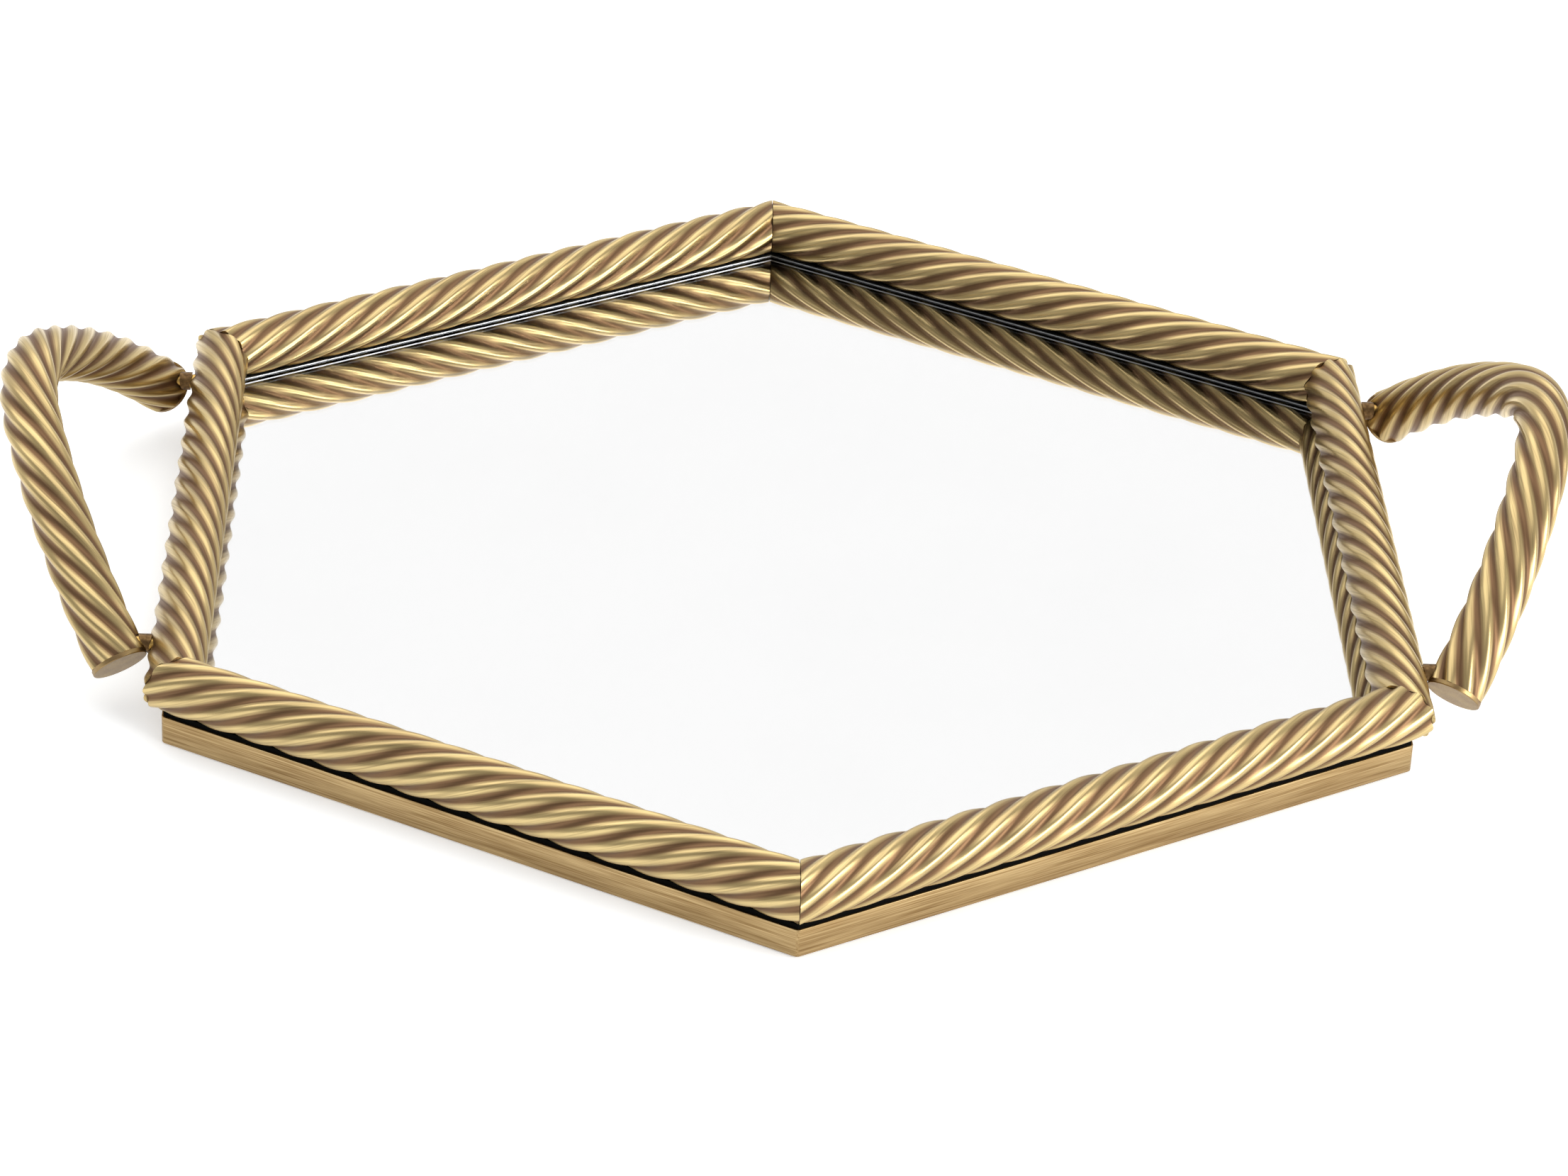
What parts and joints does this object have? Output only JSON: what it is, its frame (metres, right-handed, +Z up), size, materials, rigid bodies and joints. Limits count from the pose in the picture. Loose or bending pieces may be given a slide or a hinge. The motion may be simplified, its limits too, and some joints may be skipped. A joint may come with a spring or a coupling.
{
  "type": "hexagonal mirror tray",
  "caption": "Hexagonal serving tray with a mirror bed, a mitred rope-twist antique brass rim over a brushed band, and raised rope-twist loop handles at both ends.",
  "frame": {"origin": "middle of the tray's footprint, on the surface it stands on", "axes": "+X runs from the left handle to the right one, +Y from the front point of the hexagon to the back point, +Z up"},
  "size_m": [0.545, 0.4966, 0.0832],
  "materials": {
    "rope_brass": "antiqued, dark in the grooves and polished on the crests",
    "band_brass": "brushed along its length, lacquered",
    "cap_brass": "filed flat and satin",
    "mirror": "polished, silvered on the back",
    "bead_steel": "bright",
    "saddle_rubber": "matte black",
    "seat_steel": "matte black paint",
    "board": "black painted board",
    "tape": "foam tape",
    "felt": "pressed felt",
    "screw_steel": "zinc plated",
    "bush_brass": "turned"
  },
  "bodies": {
    "root": {"rope_rail_right": "rope_brass", "rope_rail_back_right": "rope_brass", "rope_rail_back_left": "rope_brass", "rope_rail_left": "rope_brass", "rope_rail_front_left": "rope_brass", "rope_rail_front_right": "rope_brass", "band_right": "band_brass", "band_back_right": "band_brass", "band_back_left": "band_brass", "band_left": "band_brass", "band_front_left": "band_brass", "band_front_right": "band_brass", "seat_bar_right": "seat_steel", "seat_bar_back_right": "seat_steel", "seat_bar_back_left": "seat_steel", "seat_bar_left": "seat_steel", "seat_bar_front_left": "seat_steel", "seat_bar_front_right": "seat_steel", "saddle_strip_right": "saddle_rubber", "saddle_strip_back_right": "saddle_rubber", "saddle_strip_back_left": "saddle_rubber", "saddle_strip_left": "saddle_rubber", "saddle_strip_front_left": "saddle_rubber", "saddle_strip_front_right": "saddle_rubber", "mirror_bead_right": "bead_steel", "mirror_bead_back_right": "bead_steel", "mirror_bead_back_left": "bead_steel", "mirror_bead_left": "bead_steel", "mirror_bead_front_left": "bead_steel", "mirror_bead_front_right": "bead_steel", "mirror_glass": "mirror", "bedding_tape": "tape", "backing_board": "board", "felt_base": "felt", "rail_screws": "screw_steel", "board_screws": "screw_steel", "rail_bushes": "bush_brass", "handle_left": "rope_brass", "handle_plug_left_front": "cap_brass", "handle_plug_left_back": "cap_brass", "handle_right": "rope_brass", "handle_plug_right_front": "cap_brass", "handle_plug_right_back": "cap_brass", "handle_studs": "screw_steel", "handle_collars": "cap_brass"}
  },
  "joints": []
}
